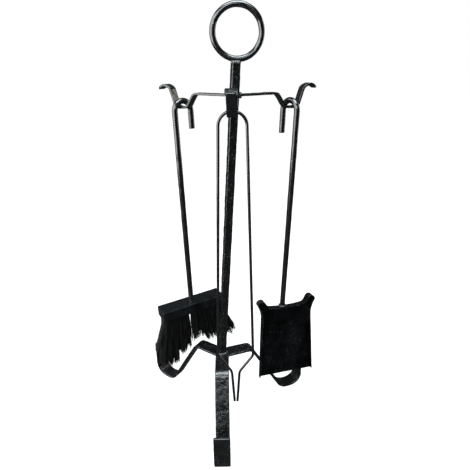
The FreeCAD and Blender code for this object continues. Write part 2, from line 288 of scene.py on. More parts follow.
def multiply(tree, first, second):
    product = addNode(tree, "ShaderNodeMath", operation="MULTIPLY")
    tree.links.new(first, product.inputs[0])
    if isinstance(second, (int, float)):
        product.inputs[1].default_value = second
    else:
        tree.links.new(second, product.inputs[1])
    return product.outputs[0]


def noiseNode(tree, coords, scale, detail=3.0, stretch=None, rough=0.55):
    noise = addNode(tree, "ShaderNodeTexNoise", {"Scale": scale, "Detail": detail, "Roughness": rough})
    if stretch:
        mapping = addNode(tree, "ShaderNodeMapping", {"Scale": stretch})
        tree.links.new(coords, mapping.inputs["Vector"])
        coords = mapping.outputs["Vector"]
    tree.links.new(coords, noise.inputs["Vector"])
    return noise.outputs["Fac"]


def bumpNode(tree, height, strength, distance, below=None):
    bump = addNode(tree, "ShaderNodeBump", {"Strength": strength, "Distance": distance})
    tree.links.new(height, bump.inputs["Height"])
    if below is not None:
        tree.links.new(below, bump.inputs["Normal"])
    return bump.outputs["Normal"]


def blackPaint(name, finish):
    # brushed-on black over steel: mottled, pitted, with pale flecks and edges lighter: rubbed wear, and on
    # the pan a painted highlight along its rims
    material = bpy.data.materials.new(name)
    material.use_nodes = True
    tree = material.node_tree
    shader = tree.nodes["Principled BSDF"]
    coords = addNode(tree, "ShaderNodeTexCoord").outputs["Object"]
    mottle = rampNode(tree, noiseNode(tree, coords, finish["mottleScale"], 4), *finish["mottleRange"])
    colour = mixColours(tree, mottle, finish["dark"], finish["light"])
    flecks = rampNode(tree, noiseNode(tree, coords, finish["fleckScale"], 2, rough=0.7),
                      finish["fleckFrom"], finish["fleckFrom"] + finish["fleckFade"])
    patches = rampNode(tree, noiseNode(tree, coords, finish["patchScale"], 2), *finish["patchRange"])
    flecks = multiply(tree, flecks, patches)
    colour = mixColours(tree, multiply(tree, flecks, finish["fleckAmount"]), colour, finish["fleck"])
    scratches = rampNode(tree, noiseNode(tree, coords, 1.0, 3, finish["scratchStretch"]),
                         finish["scratchFrom"], finish["scratchFrom"] + finish["scratchFade"])
    colour = mixColours(tree, multiply(tree, scratches, finish["scratchAmount"]), colour, finish["fleck"])
    # edges made lighter by pointiness: rubbed wear, and with the pan's bright edge colour a painted
    # highlight
    edge = rampNode(tree, addNode(tree, "ShaderNodeNewGeometry").outputs["Pointiness"],
                    finish["edgeFrom"], finish["edgeFrom"] + finish["edgeFade"])
    broken = rampNode(tree, noiseNode(tree, coords, finish["edgeScale"], 3), *finish["edgeRange"])
    wearAndHighlightEdge = multiply(tree, edge, broken)
    colour = mixColours(tree, multiply(tree, wearAndHighlightEdge, finish["edgeAmount"]), colour, finish["wearAndHighlightEdge"])
    tree.links.new(colour, shader.inputs["Base Color"])
    wipe = rampNode(tree, noiseNode(tree, coords, finish["wipeScale"], 4), *finish["wipeRange"])
    roughness = mixValues(tree, wipe, finish["smooth"], finish["rough"])
    roughness = mixValues(tree, flecks, roughness, finish["fleckRough"])
    tree.links.new(roughness, shader.inputs["Roughness"])
    shader.inputs["Specular IOR Level"].default_value = finish["specular"]
    shader.inputs["Coat Weight"].default_value = finish["coat"]
    shader.inputs["Coat Roughness"].default_value = finish["coatRough"]
    surface = None
    for layer, detail in (("beat", 2), ("speckle", 2), ("grain", 3)):
        height = noiseNode(tree, coords, finish[layer + "Scale"], detail)
        surface = bumpNode(tree, height, finish[layer], finish[layer + "Depth"], surface)
    pits = addNode(tree, "ShaderNodeTexVoronoi", {"Scale": finish["pitsScale"]})
    tree.links.new(coords, pits.inputs["Vector"])
    height = rampNode(tree, pits.outputs["Distance"], *finish["pitsRange"])
    surface = bumpNode(tree, height, finish["pits"], finish["pitsDepth"], surface)
    tree.links.new(surface, shader.inputs["Normal"])
    return material


paintBase = {
    "dark": (0.001, 0.0011, 0.0013), "light": (0.006, 0.0067, 0.0075),
    "mottleScale": 70, "mottleRange": (0.35, 0.68),
    "fleck": (0.2, 0.205, 0.2), "fleckScale": 380, "fleckFrom": 0.62, "fleckFade": 0.05, "fleckAmount": 0.6,
    "fleckRough": 0.62, "patchScale": 55, "patchRange": (0.42, 0.62),   # flecks come in patches
    "scratchStretch": (700, 700, 34), "scratchFrom": 0.7, "scratchFade": 0.06, "scratchAmount": 0.3,
    "wearAndHighlightEdge": (0.14, 0.15, 0.155), "edgeFrom": 0.53, "edgeFade": 0.06, "edgeAmount": 0.7,
    "edgeScale": 240, "edgeRange": (0.4, 0.6),
    "wipeScale": 45, "wipeRange": (0.3, 0.7), "smooth": 0.16, "rough": 0.36,
    "specular": 0.7, "coat": 0.35, "coatRough": 0.1,
    "beatScale": 130, "beat": 0.6, "beatDepth": 0.0012,
    "speckleScale": 330, "speckle": 0.9, "speckleDepth": 0.0006,
    "grainScale": 1300, "grain": 0.2, "grainDepth": 0.0003,
    "pitsScale": 780, "pits": 0.2, "pitsDepth": 0.0002, "pitsRange": (0.05, 0.3),
}
barFinish = dict(
    paintBase, fleckAmount=0.2, fleckFrom=0.7, scratchAmount=0.12, edgeAmount=0.1, edgeFrom=0.57,
    smooth=0.14, rough=0.3, specular=0.9, coat=0.6, beat=0.06, speckle=0.03, grain=0.1, pits=0.05)
# the pan's pale edge colour paints a highlight along the rims and the lip's front edge
panFinish = dict(
    paintBase, dark=(0.0002, 0.00022, 0.00025), light=(0.005, 0.0055, 0.0062), mottleScale=28,
    fleckAmount=0.2, scratchStretch=(60, 900, 30), scratchAmount=0.16, wearAndHighlightEdge=(0.34, 0.36, 0.37),
    edgeAmount=0.9, edgeFrom=0.515, smooth=0.14, rough=0.4, specular=0.2, coat=0.0,
    beatScale=60, beat=0.22, speckle=0.15)
blockFinish = dict(
    paintBase, dark=(0.0012, 0.0014, 0.0016), light=(0.006, 0.007, 0.0082), fleckAmount=0.25,
    scratchStretch=(25, 500, 500), smooth=0.24, rough=0.48, specular=0.35, coat=0.08,
    beatScale=90, beat=0.12, speckle=0.15)
weldFinish = dict(
    paintBase, light=(0.05, 0.053, 0.056), mottleScale=200, fleck=(0.5, 0.5, 0.48), fleckAmount=0.9,
    fleckFrom=0.6, wearAndHighlightEdge=(0.3, 0.3, 0.3), edgeAmount=0.9, smooth=0.2, rough=0.4)
standPaint = blackPaint("standPaint", paintBase)
barPaint = blackPaint("barPaint", barFinish)
panPaint = blackPaint("panPaint", panFinish)
blockPaint = blackPaint("blockPaint", blockFinish)
weldMetal = blackPaint("weldMetal", weldFinish)


def bristleFibre(name, finish):
    material = bpy.data.materials.new(name)
    material.use_nodes = True
    tree = material.node_tree
    shader = tree.nodes["Principled BSDF"]
    coords = addNode(tree, "ShaderNodeTexCoord").outputs["Object"]
    strands = rampNode(tree, noiseNode(tree, coords, 1.0, 2, finish["strandStretch"]),
                       *finish["strandRange"])
    colour = mixColours(tree, strands, finish["dark"], finish["light"])
    # pale grey streaks along the strands: painted sheen
    paintedSheenMask = rampNode(tree, noiseNode(tree, coords, 1.0, 1, finish["paintedSheenStretch"]), *finish["paintedSheenRange"])
    colour = mixColours(tree, multiply(tree, paintedSheenMask, finish["paintedSheenAmount"]), colour, finish["paintedSheen"])
    tree.links.new(colour, shader.inputs["Base Color"])
    roughness = mixValues(tree, strands, finish["smooth"], finish["rough"])
    tree.links.new(roughness, shader.inputs["Roughness"])
    shader.inputs["Specular IOR Level"].default_value = finish["specular"]
    grain = bumpNode(tree, noiseNode(tree, coords, finish["grainScale"], 2), finish["grain"],
                     finish["grainDepth"])
    tree.links.new(grain, shader.inputs["Normal"])
    return material


bristleFinish = {
    "dark": (0.0012, 0.0012, 0.0013), "light": (0.006, 0.006, 0.006),
    "strandStretch": (1100, 1100, 25), "strandRange": (0.4, 0.62),
    # the pale streaks along the strands are painted sheen
    "paintedSheen": (0.09, 0.085, 0.075), "paintedSheenStretch": (620, 620, 12), "paintedSheenRange": (0.6, 0.68),
    "paintedSheenAmount": 0.25,
    "smooth": 0.38, "rough": 0.7, "specular": 0.45, "grainScale": 2600, "grain": 0.25, "grainDepth": 0.0001,
}
bristle = bristleFibre("bristle", bristleFinish)
print("finishes mixed")

# the stand
stand = {
    "foot": Vector((-18.6203, 31.634, 119.3)) * mm,   # where the post meets the legs
    "lean": 3.5, "turn": 14.0, "bar": 13.0, "arris": 1.1, "cells": 6, "step": 2.5,
    "hub": 603.0, "ringHeight": 691.0, "dents": 0.7, "waves": 0.8,
}
legForm = {
    "width": 26.0, "tipWidth": 28.5, "thickness": 4.5, "shoulder": 59.0, "shoulderBend": 13.0,
    "reach": 173.0, "flat": 5.0, "footBend": 24.0, "tipBend": 25.0, "tipHeight": 80.0,
    "left": 145.5, "front": 270.0, "right": 378.5, "arris": 1.0, "dents": 0.4, "waves": 0.5,
}
hookForm = {
    "width": 15.0, "tipWidth": 17.5, "thickness": 3.5, "bend": 9.0,
    "shoulder": 73.0, "shoulderRise": 1.2, "dipStart": 88.0, "dipEnd": 110.0, "dip": 21.0,
    "rise": 120.5, "knee": 10.0, "crown": 133.0, "crownRise": 15.0, "reach": 143.5, "tipRise": 8.5,
    "front": -92.5, "left": 149.0, "right": 21.0, "rootInset": 1.5, "tipRound": 6.0, "tipDraw": 0.32,
    "arris": 0.8, "dents": 0.45, "waves": 0.4,
}
ringForm = {"radius": 36.5, "bar": 9.0, "turn": 4.0, "gap": 0.3, "dents": 0.5, "waves": 0.6}


def onPost(height):
    rise = height * mm - stand["foot"].z
    return stand["foot"] + Vector((math.tan(math.radians(stand["lean"])), 0, 1)) * rise


def makePost():
    base = -stand["bar"] * mm
    ringBottom = (stand["ringHeight"] - stand["foot"].z / mm) / math.cos(math.radians(stand["lean"]))
    top = (ringBottom - ringForm["radius"] - ringForm["bar"] / 2 - ringForm["gap"]) * mm
    deselectAll()
    bpy.ops.mesh.primitive_grid_add(x_subdivisions=stand["cells"], y_subdivisions=stand["cells"],
                                    size=stand["bar"] * mm, location=(0, 0, base))
    post = bpy.context.object
    applyPlace(post)
    openEdit(post, "FACE")
    bpy.ops.mesh.select_all(action="SELECT")
    runOn(Vector((0, 0, top - base)), stand["step"] * mm)
    closeEdit()
    tidyMesh(post)
    easeEdges(post, stand["arris"])
    forge(post, hammerDents, stand)
    lean = turnAbout(stand["lean"], "Y") @ turnAbout(stand["turn"], "Z")
    applyPlace(post, Matrix.Translation(stand["foot"]) @ lean)
    # cut level where it stands on the legs
    openEdit(post)
    bpy.ops.mesh.select_all(action="SELECT")
    bpy.ops.mesh.bisect(plane_co=stand["foot"] - upward * 0.0006, plane_no=upward, clear_inner=True,
                        use_fill=True)
    closeEdit()
    tidyMesh(post)
    return setPiece(post, "squarePost", standPaint, "stand", ["post"])


makePost()


def makeHook(side):
    root = stand["bar"] * math.sqrt(0.5) - hookForm["rootInset"]
    outline = [(root, 0), (hookForm["shoulder"], hookForm["shoulderRise"]),
               (hookForm["dipStart"], -hookForm["dip"]), (hookForm["dipEnd"], -hookForm["dip"]),
               (hookForm["rise"], hookForm["knee"]), (hookForm["crown"], hookForm["crownRise"]),
               (hookForm["reach"], hookForm["tipRise"])]
    points = [Vector((x, 0, z)) * mm for x, z in outline]
    bends = [hookForm["bend"] * mm] * (len(points) - 2)
    hook = flatBar(side + "Hook", points, bends, hookForm["width"] * mm,
                   hookForm["thickness"] * mm, (8, 2))
    flareTip(hook, hookForm["rise"] * mm, hookForm["reach"] * mm, hookForm["tipWidth"] / hookForm["width"])
    roundTip(hook, hookForm["reach"] * mm, hookForm["tipRound"] * mm, hookForm["tipDraw"])
    tidyMesh(hook)
    easeEdges(hook, hookForm["arris"])
    place = Matrix.Translation(onPost(stand["hub"])) @ turnAbout(hookForm[side], "Z")
    applyPlace(hook, place)
    forge(hook, hammerDents, hookForm)
    tidyMesh(hook)
    return setPiece(hook, side + "Hook", standPaint, "stand", [side + "_hook"])


for side in ("front", "left", "right"):
    makeHook(side)


def footCorner(top):
    # where the slope would meet the floor line, with room for the two bends and the flat
    flatStart = legForm["reach"] - legForm["thickness"] / 2 - legForm["tipBend"] - legForm["flat"]
    corner = flatStart
    for _ in range(30):
        slope = math.atan2(top - legForm["thickness"], corner - legForm["shoulder"])
        corner = flatStart - legForm["footBend"] * math.tan(slope / 2)
    return corner


def makeLeg(side, before, after):
    top = stand["foot"].z / mm
    half = legForm["thickness"] / 2
    outline = [(0, top - half), (legForm["shoulder"], top - half), (footCorner(top), half),
               (legForm["reach"] - half, half), (legForm["reach"] - half, legForm["tipHeight"])]
    points = [Vector((x, 0, z)) * mm for x, z in outline]
    radii = [legForm[bend] * mm for bend in ("shoulderBend", "footBend", "tipBend")]
    leg = flatBar(side + "Leg", points, radii, legForm["width"] * mm, legForm["thickness"] * mm, (10, 2))
    flareTip(leg, (legForm["reach"] - legForm["tipBend"]) * mm, legForm["reach"] * mm,
             legForm["tipWidth"] / legForm["width"])
    tidyMesh(leg)
    easeEdges(leg, legForm["arris"])
    place = Matrix.Translation((stand["foot"].x, stand["foot"].y, 0)) @ turnAbout(legForm[side], "Z")
    applyPlace(leg, place)
    forge(leg, hammerDents, legForm)
    # mitred against its neighbours under the post
    middle = legForm[side]
    openEdit(leg)
    for other, turn in ((before, -90), (after, 90)):
        bpy.ops.mesh.select_all(action="SELECT")
        bpy.ops.mesh.bisect(plane_co=(stand["foot"].x, stand["foot"].y, 0),
                            plane_no=heading((middle + other) / 2 + turn), clear_outer=True, use_fill=True)
    bpy.ops.mesh.select_all(action="SELECT")
    bpy.ops.mesh.bisect(plane_co=(0, 0, 0), plane_no=upward, clear_inner=True, use_fill=True)
    closeEdit()
    tidyMesh(leg)
    return setPiece(leg, side + "Leg", standPaint, "stand", [side + "_leg"])


makeLeg("left", legForm["right"] - 360, legForm["front"])
makeLeg("front", legForm["left"], legForm["right"])
makeLeg("right", legForm["front"], legForm["left"] + 360)


def makeRing():
    radius = ringForm["radius"] * mm
    deselectAll()
    bpy.ops.mesh.primitive_torus_add(major_radius=radius, minor_radius=ringForm["bar"] / 2 * mm,
                                     major_segments=120, minor_segments=20, rotation=(math.pi / 2, 0, 0))
    ring = bpy.context.object
    applyPlace(ring)
    tidyMesh(ring, 60)
    forge(ring, barWaves, ringForm)
    place = turnAbout(stand["lean"], "Y") @ turnAbout(ringForm["turn"], "Z")
    applyPlace(ring, Matrix.Translation(onPost(stand["ringHeight"])) @ place)
    tidyMesh(ring, 60)
    return setPiece(ring, "carryRing", barPaint, "stand", ["carry_ring"])


makeRing()
print("stand forged")


# welds: overlapping drops of metal, melted together
weldForm = {
    "ringDrops": 5, "ringSpread": 5.2, "ringFront": 4.2, "ringSink": 0.4, "ringCore": (6.2, 5.2, 3.6),
    "hookDrops": 4, "hookSpread": 9.0, "hookInset": 0.6, "hookRise": 2.2, "hookDrop": 2.55,
    "legDrops": 16, "legOut": 1.0, "legCorner": 0.2, "legRise": 0.7, "legDrop": 2.7,
    "panDrops": 14, "panOut": 0.6, "panRise": 0.9, "panDrop": 2.2,
    "drop": 3.0, "grain": 0.6, "waves": 0.6,
}
chance = random.Random(11)


def drop(size):
    return tuple(size * mm * chance.uniform(0.85, 1.15) for _ in range(3))


def makeWeld(name, drops, body, node):
    balls = []
    for centre, size in drops:
        deselectAll()
        bpy.ops.mesh.primitive_ico_sphere_add(subdivisions=2, radius=1, location=centre, scale=size)
        balls.append(bpy.context.object)
        applyPlace(balls[-1])
    weld = joinPieces(balls, name)
    addModifier(weld, "REMESH", mode="VOXEL", voxel_size=weldForm["grain"] * mm)
    addModifier(weld, "SMOOTH", factor=0.5, iterations=2)
    uneven(weld, barWaves, weldForm["waves"])
    tidyMesh(weld, 60)
    return setPiece(weld, name, weldMetal, body, [node])


def spread(index, count):
    # -0.5 to 0.5 along a row
    return index / (count - 1) - 0.5


def makeRingWeld():
    distance = ringForm["radius"] + ringForm["bar"] / 2
    joint = onPost(stand["ringHeight"] - distance * math.cos(math.radians(stand["lean"])))
    drops = []
    for front in (-1, 1):
        for index in range(weldForm["ringDrops"]):
            across = spread(index, weldForm["ringDrops"]) * 2 * weldForm["ringSpread"]
            spot = joint + Vector((across, front * weldForm["ringFront"], -weldForm["ringSink"])) * mm
            drops.append((spot, drop(weldForm["drop"])))
    drops.append((joint, tuple(size * mm for size in weldForm["ringCore"])))
    makeWeld("ringWeld", drops, "stand", "ring_weld")


def makeHookWelds():
    drops = []
    for side in ("front", "left", "right"):
        out = heading(hookForm[side])
        across = Vector((-out.y, out.x, 0))
        root = onPost(stand["hub"]) + out * (stand["bar"] * math.sqrt(0.5) - weldForm["hookInset"]) * mm
        for level in (-1, 1):
            for index in range(weldForm["hookDrops"]):
                offset = spread(index, weldForm["hookDrops"]) * weldForm["hookSpread"]
                spot = root + (across * offset + upward * level * weldForm["hookRise"]) * mm
                drops.append((spot, drop(weldForm["hookDrop"])))
    makeWeld("hookWelds", drops, "stand", "hook_welds")


def makeLegWeld():
    drops = []
    for index in range(weldForm["legDrops"]):
        angle = 360 * index / weldForm["legDrops"]
        corner = 1 + weldForm["legCorner"] * abs(math.sin(math.radians(2 * (angle - stand["turn"]))))
        out = stand["bar"] / 2 * corner + weldForm["legOut"]
        spot = stand["foot"] + (heading(angle) * out + upward * weldForm["legRise"]) * mm
        drops.append((spot, drop(weldForm["legDrop"])))
    makeWeld("legWeld", drops, "stand", "leg_weld")


makeRingWeld()
makeHookWelds()
makeLegWeld()
print("welds laid")


# how a round bend hangs in a hook, and the two round handles
hangGap = 0.3
rodForm = {"arris": 0.9, "dents": 0.3, "waves": 0.6}


def hungCentre(hookSide, out, bendHeading, radius, diameter):
    inner = radius - diameter / 2
    across = abs(math.sin(math.radians(bendHeading - hookForm[hookSide])))
    half = hookForm["width"] / 2 / across + hangGap
    seat = hookForm["thickness"] / 2 - hookForm["dip"] + hangGap - math.sqrt(inner ** 2 - half ** 2)
    return onPost(stand["hub"]) + heading(hookForm[hookSide]) * out * mm + upward * seat * mm


def hangPlace(tool):
    centre = hungCentre(tool["hook"], tool["hangReach"], tool["crookHeading"], tool["crookRadius"],
                        tool["rod"])
    turn = turnAbout(tool["crookHeading"], "Z") @ turnAbout(-tool["lean"], "Y")
    return Matrix.Translation(centre) @ turn


def makeHandle(tool, name, node):
    radius = tool["crookRadius"]
    outline = [(-radius, -tool["rodLength"]), (-radius, radius), (radius, radius), (radius, -tool["tail"])]
    points = [Vector((x, 0, z)) * mm for x, z in outline]
    handle = roundBar(name, points, [radius * mm, radius * mm], tool["rod"] * mm)
    tidyMesh(handle, 50)
    easeEdges(handle, rodForm["arris"], 60)
    forge(handle, barWaves, rodForm)
    applyPlace(handle, hangPlace(tool))
    tidyMesh(handle, 50)
    return setPiece(handle, name, barPaint, tool["body"], [node])


# brush
brush = {
    "body": "brush", "hook": "left", "hangReach": 100.5, "crookHeading": 42.0, "lean": 1.7,
    "crookRadius": 16.5, "rod": 10.0, "rodLength": 378.0, "blockTop": 364.0, "tail": 31.0,
    "blockHeading": 28.7, "length": 130.0, "depth": 33.0, "height": 20.0, "forward": 1.0, "left": 0.7,
    "arris": 1.4, "waves": 0.6,
}
tufts = {
    "inset": 3.6, "strand": 0.62, "taper": 0.3, "pitch": 5.4, "jitter": 1.5, "sunk": 1.0, "seed": 7,
    # places where the tufts part, with half the width of the gap
    "slits": ((-5.5, 1.9), (-21.0, 1.0), (12.0, 1.3), (31.0, 1.0)), "slitSlant": 0.41,
    # start, end, spread of the tips at each end, strands in a tuft
    "left": (-62, -35, -12, -4, 40), "middle": (-33, 19, -1.5, 2, 36), "right": (20, 62, 4, 33, 38),
    # place along the block and length of bristle there: long at the left, cut short over the leg
    "lengths": ((-62, 116), (-35, 114), (-32, 101), (-22, 95), (-10, 78), (0, 70), (19, 66), (21, 86),
                (62, 89)),
    "strays": 70, "strayReach": (58, 74), "strayAside": (-23, -2), "strayRoot": (3, -8, 4),
}


def headPlace():
    local = shift(-brush["left"], -brush["forward"], -brush["blockTop"])
    swing = turnAbout(brush["blockHeading"] - brush["crookHeading"], "Z")
    return hangPlace(brush) @ shift(-brush["crookRadius"], 0, 0) @ swing @ local


def makeBlock():
    deselectAll()
    bpy.ops.mesh.primitive_cube_add(size=1, location=(0, 0, -brush["height"] / 2 * mm))
    block = bpy.context.object
    block.scale = (brush["length"] * mm, brush["depth"] * mm, brush["height"] * mm)
    applyPlace(block)
    openEdit(block, "EDGE")
    bpy.ops.mesh.select_all(action="SELECT")
    bpy.ops.mesh.bevel(offset=brush["arris"] * mm, segments=3, profile=0.6)
    # cut into short faces, so that the waves show
    pick(block, "edges", lambda edge: edge.calc_length() > 0.012)
    bpy.ops.mesh.subdivide(number_cuts=1)
    for limit in (0.06, 0.03, 0.015):
        pick(block, "edges", lambda edge: edge.calc_length() > limit
             and abs((edge.verts[1].co - edge.verts[0].co).normalized().x) > 0.9)
        bpy.ops.mesh.subdivide(number_cuts=1)
    closeEdit()
    addModifier(block, "SUBSURF", levels=1, render_levels=1, subdivision_type="SIMPLE")
    uneven(block, forgeWaves, brush["waves"])
    applyPlace(block, headPlace())
    tidyMesh(block, 35)
    return setPiece(block, "brushBlock", blockPaint, "brush", ["brush_block"])


def bristleLength(place):
    marks = tufts["lengths"]
    for (before, low), (after, high) in zip(marks, marks[1:]):
        if place <= after:
            share = max(0, (place - before) / (after - before))
            return low + (high - low) * share
    return marks[-1][1]


def inSlit(root):
    return any(abs(root.x - at - tufts["slitSlant"] * root.y) < half for at, half in tufts["slits"])


def makeBristles(group):
    start, end, startSpread, endSpread, count = tufts[group]
    place = headPlace()
    chance = random.Random(tufts["seed"] + len(group))
    curve = bpy.data.curves.new("bristles", "CURVE")
    curve.dimensions = "3D"
    curve.bevel_depth = tufts["strand"] / 2 * mm
    curve.bevel_resolution = 0
    curve.resolution_u = 2
    curve.use_fill_caps = True
    half = brush["depth"] / 2 - tufts["inset"]
    columns = max(2, round((end - start) / tufts["pitch"]))
    rows = max(2, round(2 * half / tufts["pitch"]))
    for column in range(columns):
        for row in range(rows):
            share = (column + 0.5) / columns
            tuftX = start + share * (end - start)
            tuftY = -half + (row + 0.5) / rows * 2 * half
            tuftLength = chance.uniform(0.9, 1.0)
            lean = Vector((startSpread + share * (endSpread - startSpread) + chance.gauss(0, 1.8),
                           tuftY / half * 1.5 + chance.gauss(0, 1.0), 0))
            for _ in range(count):
                root = Vector((tuftX + chance.gauss(0, tufts["jitter"]),
                               tuftY + chance.gauss(0, tufts["jitter"]), -brush["height"] + tufts["sunk"]))
                root.x = min(max(root.x, start), end)
                root.y = min(max(root.y, -half), half)
                if inSlit(root):
                    continue
                fall = bristleLength(root.x) * tuftLength * chance.uniform(0.86, 1.02)
                aside = lean + Vector((chance.gauss(0, 1.3), chance.gauss(0, 1.1), 0))
                addStrand(curve, place, root, aside, fall, chance)
    if group == "left":
        addStrays(curve, place, chance)
    bristles = bpy.data.objects.new("bristles", curve)
    bpy.context.scene.collection.objects.link(bristles)
    workOn(bristles)
    bpy.ops.object.convert(target="MESH")
    tidyMesh(bristles, 60)
    name = "bristles" + group.title()
    return setPiece(bristles, name, bristle, "brush", ["bristles_" + group])


def addStrand(curve, place, root, aside, fall, chance):
    spline = curve.splines.new("NURBS")
    spline.points.add(3)
    bow = Vector((chance.gauss(0, 0.7), chance.gauss(0, 0.7), 0))
    for index, point in enumerate(spline.points):
        share = index / 3
        spot = root + aside * share ** 1.25 + bow * math.sin(math.pi * share) - upward * fall * share
        point.co = (place @ (spot * mm)).to_4d()
        point.radius = 1.0 - tufts["taper"] * share
    spline.order_u = 4
    spline.use_endpoint_u = True


def addStrays(curve, place, chance):
    # a bundle that has worked loose and stands out at the left end
    deep, back, front = tufts["strayRoot"]
    asideX, asideY = tufts["strayAside"]
    for _ in range(tufts["strays"]):
        root = Vector((tufts["left"][0] + chance.uniform(0, deep), chance.uniform(back, front),
                       -brush["height"] + tufts["sunk"]))
        aside = Vector((asideX + chance.gauss(0, 1.6), asideY + chance.gauss(0, 2.0), 0))
        addStrand(curve, place, root, aside, chance.uniform(*tufts["strayReach"]), chance)


makeHandle(brush, "brushHandle", "brush_handle")
makeBlock()
for group in ("left", "middle", "right"):
    makeBristles(group)
print("brush made")


# shovel
shovel = {
    "body": "shovel", "hook": "right", "hangReach": 99.0, "crookHeading": 125.0, "lean": 2.7,
    "crookRadius": 16.5, "rod": 10.0, "rodLength": 374.0, "tail": 38.5,
    "panHeading": 15.0, "tilt": 11.0, "right": 5.6, "back": 2.5, "top": 374.0, "length": 149.5,
    "mouth": 116.0, "waist": 101.0, "waistDrop": 18.5, "earSpan": 120.0, "earRise": 15.5, "earCrown": 2.0,
    "earWidth": 16.0, "knee": 35.0, "kneeRise": 2.5, "sheet": 1.6, "sideDepth": 15.0, "mouthDepth": 7.0,
    "lipDepth": 16.0, "fold": 0.9, "earDrop": 5.5, "arris": 0.35, "waves": 1.1,
    "across": 56, "along": 60, "wallCells": 5,   # faces over the floor and up the walls
    "straightShare": 0.8, "flatShare": 0.56, "earShare": 0.2,   # how those faces are shared out
}


def panPlace():
    swing = turnAbout(shovel["panHeading"] - shovel["crookHeading"], "Z")
    inner = shift(shovel["right"], shovel["back"], -shovel["top"]) @ turnAbout(-shovel["tilt"], "X")
    return hangPlace(shovel) @ shift(-shovel["crookRadius"], 0, 0) @ swing @ inner


def arcThrough(first, middle, last, share):
    # a point on the circle through three points of the XZ plane
    ax, az, bx, bz, cx, cz = *first, *middle, *last
    twice = 2 * (ax * (bz - cz) + bx * (cz - az) + cx * (az - bz))
    a, b, c = ax * ax + az * az, bx * bx + bz * bz, cx * cx + cz * cz
    centreX = (a * (bz - cz) + b * (cz - az) + c * (az - bz)) / twice
    centreZ = (a * (cx - bx) + b * (ax - cx) + c * (bx - ax)) / twice
    radius = math.hypot(ax - centreX, az - centreZ)
    start = math.atan2(az - centreZ, ax - centreX)
    through = (math.atan2(bz - centreZ, bx - centreX) - start) % (2 * math.pi)
    sweep = (math.atan2(cz - centreZ, cx - centreX) - start) % (2 * math.pi)
    if through > sweep:
        sweep -= 2 * math.pi
    angle = start + sweep * share
    return centreX + radius * math.cos(angle), centreZ + radius * math.sin(angle)


def panSide(share):
    # right-hand edge from mouth to ear: straight to the waist, then out along the ear's flank
    mouth, waist, ear = shovel["mouth"] / 2, shovel["waist"] / 2, shovel["earSpan"] / 2
    bottom, waistZ = -shovel["length"], -shovel["waistDrop"]
    straight = shovel["straightShare"]
    if share < straight:
        part = share / straight
        return mouth + (waist - mouth) * part, bottom + (waistZ - bottom) * part
    flank = ((ear + waist) / 2 - 2, waistZ * 0.2)
    earOut = (ear, shovel["earRise"] - shovel["earDrop"])
    return arcThrough((waist, waistZ), flank, earOut, (share - straight) / (1 - straight))


def panTop(share):
    # top edge from the left ear to the right ear: a flat middle, a turn up, and a round ear each side
    side = 1 if share > 0.5 else -1
    outward = abs(share - 0.5) * 2
    ear, rise = shovel["earSpan"] / 2, shovel["earRise"]
    knee = (shovel["knee"], shovel["kneeRise"])
    earIn = (ear - shovel["earWidth"], rise - 2)
    flatShare, earShare = shovel["flatShare"], shovel["earShare"]
    if outward <= flatShare:
        x, z = arcThrough((-knee[0], knee[1]), (0, 0), knee, 0.5 + outward / flatShare / 2)
    elif outward <= 1 - earShare:
        turnUp = ((knee[0] + earIn[0]) / 2 + 0.5, rise * 0.42)
        x, z = arcThrough(knee, turnUp, earIn, (outward - flatShare) / (1 - earShare - flatShare))
    else:
        crown = (ear - shovel["earWidth"] * 0.27, rise + shovel["earCrown"])
        earOut = (ear, rise - shovel["earDrop"])
        x, z = arcThrough(earIn, crown, earOut, (outward - 1 + earShare) / earShare)
    return side * x, z


def wallDepth(z):
    if z < -shovel["waistDrop"]:
        share = (z + shovel["length"]) / (shovel["length"] - shovel["waistDrop"])
        return shovel["mouthDepth"] + (shovel["sideDepth"] - shovel["mouthDepth"]) * max(0, share)
    share = (z + shovel["waistDrop"]) / (shovel["waistDrop"] + shovel["earRise"] + 10)
    return shovel["sideDepth"] + (shovel["lipDepth"] - shovel["sideDepth"]) * share


def makePan():
    deselectAll()
    bpy.ops.mesh.primitive_grid_add(x_subdivisions=shovel["across"], y_subdivisions=shovel["along"], size=1,
                                    rotation=(math.pi / 2, 0, 0))
    pan = bpy.context.object
    applyPlace(pan)
    # the flat grid is drawn out to the pan's outline
    bottom = -shovel["length"]
    cornerX, cornerZ = panSide(1)
    for vertex in pan.data.vertices:
        u, v = vertex.co.x + 0.5, vertex.co.z + 0.5
        sideX, sideZ = panSide(v)
        topX, topZ = panTop(u)
        x = v * topX + (u * 2 - 1) * (sideX - v * cornerX)
        z = v * topZ + sideZ - v * cornerZ
        vertex.co = Vector((x, 0, z)) * mm
    # walls stand up from every edge but the mouth
    openEdit(pan, "EDGE")
    low = bottom * mm + 0.0001
    pick(pan, "edges", lambda edge: edge.is_boundary and not all(vert.co.z < low for vert in edge.verts))
    for _ in range(shovel["wallCells"]):
        bpy.ops.mesh.extrude_region_move(TRANSFORM_OT_translate={"value": (0, -1 / shovel["wallCells"], 0)})
    closeEdit()
    for vertex in pan.data.vertices:
        vertex.co.y *= wallDepth(vertex.co.z / mm) * mm
    openEdit(pan, "EDGE")
    pick(pan, "edges", lambda edge: all(abs(vert.co.y) < 0.00001 for vert in edge.verts)
         and edge.calc_face_angle(0) > 1.0)
    bpy.ops.mesh.bevel(offset=shovel["fold"] * mm, segments=3, clamp_overlap=True)
    closeEdit()
    tidyMesh(pan, 60)
    outward = pan.data.polygons[0].normal.y
    addModifier(pan, "SOLIDIFY", thickness=shovel["sheet"] * mm, offset=-1 if outward > 0 else 1)
    easeEdges(pan, shovel["arris"], 60)
    uneven(pan, forgeWaves, shovel["waves"], direction="Y")
    addModifier(pan, "SUBSURF", levels=1, render_levels=1)
    applyPlace(pan, panPlace())
    tidyMesh(pan, 40)
    return setPiece(pan, "shovelPan", panPaint, "shovel", ["shovel_pan"])


